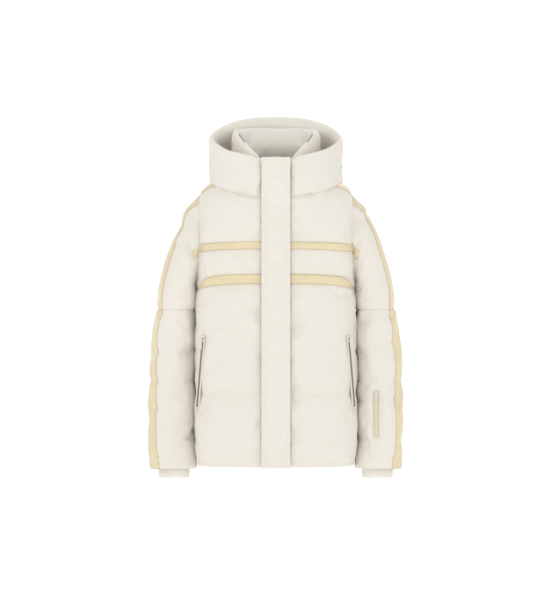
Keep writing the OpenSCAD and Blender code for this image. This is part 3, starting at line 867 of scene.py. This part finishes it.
def stripEdges(rows, mirrored):
    # the two long edges of a strip, set in from its sides, with their normals
    runs = []
    for share, k0, k1 in ((0.5, 0, 1), (0.5, len(rows) - 1, len(rows) - 2)):
        run = []
        for i in range(len(rows[0]) - 1):
            p = rows[k0][i].lerp(rows[k1][i], share)
            n = (rows[0][i + 1] - rows[0][i]).cross(rows[-1][i] - rows[0][i]).normalized()
            q = p + n * tape["thick"]
            run.append((Vector((-q.x, q.y, q.z)), Vector((-n.x, n.y, n.z))) if mirrored else (q, n))
        runs.append(run)
    return runs


# tapes
tape = {"thick": 0.0009, "lift": 0.0004, "lines": 6, "along": 46, "start": flapHalf - 0.006,
        "offset": [(0, 0.030), (0.12, 0.027), (0.3, 0.028), (0.5, 0.034), (1, 0.035)], "offsetLow": [(elbowZ, 0.035)],
        "half": 0.0155, "shoulderNeck": (-0.082, -0.050), "shoulderArm": (-0.042, -0.015), "shoulderX": (0.122, 0.183),
        "fold": (0.160, 0.190, 0.019)}


def chestTapeRows(span, tree, flip):
    rows = []
    for k in range(tape["lines"] + 1):
        z = mix(*span, k / tape["lines"])
        w = softTable(z, body["halfWidth"])
        power = bodyPower(z)
        start = -pi / 2 + asin((tape["start"] / w) ** (power / 2))
        points = evenPoints(bodyCurve(z, 0), start, -asin(min(1, edgeAngle(z, frontDepth))), tape["along"])
        row = []
        for i, p in enumerate(points):
            a, b = points[max(i - 1, 0)], points[min(i + 1, tape["along"])]
            n = Vector((b.y - a.y, a.x - b.x, 0)).normalized()
            q = p.copy()
            q.z -= tapeShift(q.x, z)
            if span == body["lowerTape"]:       # its outer end is folded down under the arm
                q.z -= tape["fold"][2] * smooth(*tape["fold"][:2], q.x) * k / tape["lines"]
            row.append(lay(tree, q, n, tape["lift"], flip))
        rows.append(row)
    return rows


def ringAt(points, offset):
    # a point of a sleeve ring, this far forward of its outermost point, and the way out from there
    count = len(points) - 1
    around = sum((q - p).length for p, q in zip(points, points[1:]))
    place = count / 2 - offset / (around / count)
    k = int(place)
    p = points[k].lerp(points[k + 1], place - k)
    along = points[min(k + 2, count)] - points[k - 1]
    middle = sum(points[:-1], Vector()) / count
    n = p - middle
    n -= along * (n.dot(along) / along.length_squared)
    return p, n.normalized()


def sleeveTapeRows(rings, offsets, tree, flip):
    rows = []
    for ring, offset in zip(rings, offsets):
        row = []
        for k in range(tape["lines"] + 1):
            p, n = ringAt(ring, offset + mix(tape["half"], -tape["half"], k / tape["lines"]))
            row.append(lay(tree, p, n, tape["lift"], flip))
        rows.append(row)
    return rows


def shoulderLine(t, tree, flip):
    # along the shoulder from under the hood to the armhole, as far as there is cloth below
    inner = Vector((tape["shoulderX"][0], midY + mix(*tape["shoulderNeck"], t), -0.045))
    outer = Vector((tape["shoulderX"][1], midY + mix(*tape["shoulderArm"], t), -0.075))
    up = Vector((0, 0, 1))
    turn = -1 if flip else 1
    far = 1.0
    while far > 0.5:
        p = inner.lerp(outer, far) + up * above
        if tree.ray_cast(Vector((turn * p.x, p.y, p.z)), -up, reach)[0]:
            break
        far -= 0.01
    return [lay(tree, inner.lerp(outer, far * i / 16), up, tape["lift"], flip) for i in range(17)]


def turned(rows):
    # rows and columns swapped, so that the long edges are the first and last rows
    return [[row[i] for row in reversed(rows)] for i in range(len(rows[0]))]


tapes = {}
threadRuns = {}
for side in ("left", "right"):
    flip = side == "right"
    tree = surfaceOf(fronts[side])
    chest = [chestTapeRows(body[which], tree, flip) for which in ("lowerTape", "upperTape")]
    shoulder = [shoulderLine(k / tape["lines"], tree, flip) for k in range(tape["lines"] + 1)]
    upTree, lowTree = surfaceOf(sleeves[side][0]), surfaceOf(sleeves[side][1])
    upOffsets = [fromTable(1 - k / upCount, tape["offset"]) for k in range(upCount + 1)]
    upper = sleeveTapeRows(sleeveRowsUp, upOffsets, upTree, flip)
    lower = sleeveTapeRows(sleeveRowsLow, [fromTable(z, tape["offsetLow"]) for z in lowHeights], lowTree, flip)
    for name, rows in (("chest_tape_low", chest[0]), ("chest_tape_high", chest[1]), ("shoulder_tape", shoulder),
                       ("sleeve_tape_upper", upper), ("sleeve_tape_lower", lower)):
        tapes[name, side] = thinStrip(f"{name}_{side}_band", rows, satinTape, tape["thick"], mirrored=flip)
    threadRuns["chest", side] = stripEdges(chest[0], flip) + stripEdges(chest[1], flip) + stripEdges(shoulder, flip)
    threadRuns["upper", side] = stripEdges(turned(upper), flip)
    threadRuns["lower", side] = stripEdges(turned(lower), flip)
print("tapes laid")

# neck seam, a short dark strip at each top corner of the collar's V, and the tape's end on the sleeve
darkCornerCloth = clothMaterial("darkCornerCloth", {"colour": (0.42, 0.39, 0.34), "deep": (0.30, 0.27, 0.23), "threads": 4200,
                                            "creaseScale": 160, "creaseDepth": 0.3, "weaveDepth": 0.6, "rough": 0.5,
                                            "sheen": 0.1})
trim = {"neck": [(0.030, -0.0735), (0.060, -0.071), (0.085, -0.064), (0.105, -0.054), (0.130, -0.042)],
        "neckWide": 0.0028, "neckThick": 0.0014, "darkCorner": ((0.088, 0.080), (0.075, 0.061)), "darkCornerWide": 0.0026,
        "patch": ((0.1845, 0.1990, -0.186, -0.196), (0.1870, 0.1945, -0.210, -0.217)), "reach": 0.15, "jump": 0.03}
front = Vector((0, -1, 0))


def frontStrip(lowLine, highLine, count, tree, flip):
    # a strip seen from the front between two lines of (x, z)
    grid = [[(mix(x0, x1, k / count), mix(z0, z1, k / count)) for (x0, z0), (x1, z1) in zip(lowLine, highLine)]
            for k in range(count + 1)]
    hits = [[tree.ray_cast(Vector((-x if flip else x, frontY - above, z)), -front, trim["reach"])[0] for x, z in row]
            for row in grid]
    landed = [hit.y for row in hits for hit in row if hit]
    middle = sorted(landed)[len(landed) // 2]
    rows, depth = [], middle
    for row, found in zip(grid, hits):
        rows.append([])
        for (x, z), hit in zip(row, found):
            if hit and abs(hit.y - middle) < trim["jump"]:      # beside the cloth it keeps the last depth
                depth = hit.y
            rows[-1].append(Vector((x, depth - tape["lift"], z)))
    return rows


trims = {}
for side in ("left", "right"):
    flip = side == "right"
    line = [(x, softTable(x, trim["neck"])) for x in (mix(0.030, 0.130, k / 30) for k in range(31))]
    rows = frontStrip([(x, z - trim["neckWide"] / 2) for x, z in line],
                      [(x, z + trim["neckWide"] / 2) for x, z in line], 2, surfaceOf(fronts[side]), flip)
    trims["neck", side] = thinStrip(f"neck_seam_{side}_band", rows, shellCloth, trim["neckThick"],
                                    mirrored=flip)
    (x0, x1, z0, z1), (x2, x3, z2, z3) = trim["patch"]
    rows = frontStrip([(mix(x2, x3, k / 8), mix(z2, z3, k / 8)) for k in range(9)],
                      [(mix(x0, x1, k / 8), mix(z0, z1, k / 8)) for k in range(9)],
                      8, surfaceOf(sleeves[side][0]), flip)
    trims["patch", side] = thinStrip(f"sleeve_tape_end_{side}_band", rows, satinTape, tape["thick"],
                                     mirrored=flip)
    # a short dark strip laid just inside each top corner of the collar's V
    (x0, z0), (x1, z1) = trim["darkCorner"]
    line = [(mix(x1, x0, k / 10), mix(z1, z0, k / 10)) for k in range(11)]
    rows = frontStrip(line, [(x - 0.0015, z + trim["darkCornerWide"]) for x, z in line],
                      2, surfaceOf(collarPieces[side]), flip)
    trims["darkCorner", side] = thinStrip(f"collar_dark_corner_{side}_band", rows, darkCornerCloth, tape["thick"],
                                      mirrored=flip)
print("trims laid")

# knit cuffs
ribKnit = clothMaterial("ribKnit", {"colour": (0.90, 0.86, 0.78), "deep": (0.85, 0.81, 0.73), "threads": 2600,
                                    "creaseScale": 60, "creaseDepth": 0.3, "weaveDepth": 0.6, "rough": 0.85,
                                    "sheen": 0.3})
cuff = {"ribs": 62, "perRib": 4, "ribDepth": 0.0011, "top": -0.672, "rows": 12, "wall": 0.003}
cuffMid = (cuffLow[0] + cuffHigh[0]) / 2
cuffRows = []
for j in range(cuff["rows"] + 1):
    z = mix(cuffLow[2] - 0.002, cuff["top"], j / cuff["rows"])
    row = []
    for i in range(cuff["ribs"] * cuff["perRib"] + 1):
        a = pi + 2 * pi * i / (cuff["ribs"] * cuff["perRib"])
        wide = cuff["ribDepth"] * cos(cuff["ribs"] * a) + 0.0008 * sin(3 * a + z * 60)
        wide -= 0.001 * smooth(-0.725, -0.736, z)
        x, y = ringPoint((cuffHigh[0] - cuffLow[0]) / 2 - 0.001 + wide, (cuffHigh[1] - cuffLow[1]) / 2 - 0.001 + wide,
                         (cuffHigh[1] - cuffLow[1]) / 2 - 0.001 + wide, 2.2, a)
        row.append(Vector((cuffMid + x, midY + y, z)))
    cuffRows.append(row)
cuffs = {}
for side in ("left", "right"):
    cuffs[side] = gridPiece(f"knit_cuff_{side}_rib", cuffRows, ribKnit, closed=True, mirrored=side == "right",
                            pins=pinAll)
    addWall(cuffs[side], cuff["wall"], -1)
    addRound(cuffs[side])
print("cuffs knitted")

# metal and small parts
def metalMaterial(name, s):
    mat, tree, skin, link = newMaterial(name)
    place = addNode(tree, "TexCoord")
    grain = addNode(tree, "TexNoise", {"Scale": s["grain"], "Detail": 5})
    dull = addNode(tree, "MapRange", {"To Min": s["rough"] - 0.08, "To Max": s["rough"] + 0.12})
    bump = addNode(tree, "Bump", {"Strength": 0.15, "Distance": 0.0002})
    link(place.outputs["Object"], grain.inputs["Vector"])
    shadeBetween(tree, skin, s, grain.outputs["Fac"])
    link(grain.outputs["Fac"], dull.inputs["Value"])
    link(dull.outputs[0], skin.inputs["Roughness"])
    link(grain.outputs["Fac"], bump.inputs["Height"])
    link(bump.outputs[0], skin.inputs["Normal"])
    skin.inputs["Metallic"].default_value = s["metal"]
    return mat


paleMetal = metalMaterial("paleMetal", {"colour": (0.78, 0.76, 0.70), "deep": (0.62, 0.60, 0.54), "grain": 420,
                                        "rough": 0.3, "metal": 1.0})
zipTeeth = metalMaterial("zipTeeth", {"colour": (0.32, 0.29, 0.25), "deep": (0.22, 0.20, 0.17), "grain": 700,
                                      "rough": 0.42, "metal": 0.6})
snapMetal = metalMaterial("snapMetal", {"colour": (0.36, 0.35, 0.33), "deep": (0.24, 0.23, 0.22), "grain": 500,
                                        "rough": 0.35, "metal": 1.0})
passZip = clothMaterial("passZip", {"colour": (0.72, 0.66, 0.50), "deep": (0.63, 0.56, 0.40), "threads": 4200,
                                    "creaseScale": 160, "creaseDepth": 0.3, "weaveDepth": 0.6, "rough": 0.4,
                                    "sheen": 0.1})
cordTape = clothMaterial("cordTape", {"colour": (0.80, 0.765, 0.70), "deep": (0.72, 0.68, 0.60), "threads": 3800,
                                      "creaseScale": 120, "creaseDepth": 0.3, "weaveDepth": 0.8, "rough": 0.6,
                                      "sheen": 0.1})
nodeLooks = [(liningCloth, "hem_facing body_lining powder_skirt pocket_bag_left pocket_bag_right pass_pocket_bag"),
             (cordTape, "hanger_loop hand_pull_left hand_pull_right pass_pull"),
             (zipTeeth, "hand_pocket_zip_left hand_pocket_zip_right main_zip_left main_zip_right"),
             (shellCloth, "pocket_welt_left pocket_welt_right"), (passZip, "pass_pocket_zip"),
             (snapMetal, "hood_studs flap_snap_sockets flap_snap_studs"),
             (paleMetal, "main_slider main_pull hand_slider_left hand_slider_right pass_slider")]
for look, names in nodeLooks:
    for name in names.split():
        for place in bpy.data.objects[name].material_slots:
            place.material = look

# flap and tape stitching
flapTree = surfaceOf(flapPiece)
flapRuns = []
for x in (-flapHalf + outerSeam, -flapHalf + innerSeam, flapHalf - innerSeam):
    flapRuns.append([(lay(flapTree, Vector((x, flapLow[1], z)), front, 0.0002), front) for z in flapHeights])
threadsOn = {"flap": stitchPiece("flap_stitching", flapRuns, stitch, threadCream)}
for side in ("left", "right"):
    for part in ("chest", "upper", "lower"):
        threadsOn[part, side] = stitchPiece(f"tape_stitching_{part}_{side}", threadRuns[part, side], stitch, threadGold)
print("stitched")


def bend(piece, side, how):
    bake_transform(piece)


for side in ("left", "right"):
    bend(fronts[side], side, "front")
    bend(hoodPieces[side], side, "front")
    bend(collarPieces[side], side, "front")
    for name in ("chest_tape_low", "chest_tape_high", "shoulder_tape"):
        bend(tapes[name, side], side, "front")
    bend(threadsOn["chest", side], side, "front")
    bend(trims["neck", side], side, "front")
    bend(trims["darkCorner", side], side, "front")
    bend(trims["patch", side], side, "upper")
    for k, part in enumerate(("upper", "lower")):
        for piece in (sleeves[side][k], tapes[f"sleeve_tape_{part}", side], threadsOn[part, side]):
            bend(piece, side, part)
    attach(cuffs[side], f"forearm_{side}")
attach(backPiece, "body")
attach(collarPieces["back"], "body")
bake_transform(hoodBack)
for piece in (flapPiece, threadsOn["flap"]):       # the flap and its stitching are fixed in place
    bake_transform(piece)

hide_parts("back_panel")
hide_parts("hood_crown", "hood_base", "hood_lining")
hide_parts("collar_back")
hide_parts("storm_flap")
for side in ("left", "right"):
    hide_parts(f"side_panel_{side}", f"front_edge_{side}")
    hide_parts(f"hood_front_{side}")
    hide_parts(f"collar_front_{side}")
    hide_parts(f"sleeve_upper_{side}")
    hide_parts(f"sleeve_lower_{side}")
    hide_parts(f"chest_tapes_{side}", f"front_tapes_{side}")
    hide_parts(f"shoulder_tape_{side}")
    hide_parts(f"sleeve_tape_upper_{side}")
    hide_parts(f"sleeve_tape_lower_{side}")
    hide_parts(f"knit_cuff_{side}")
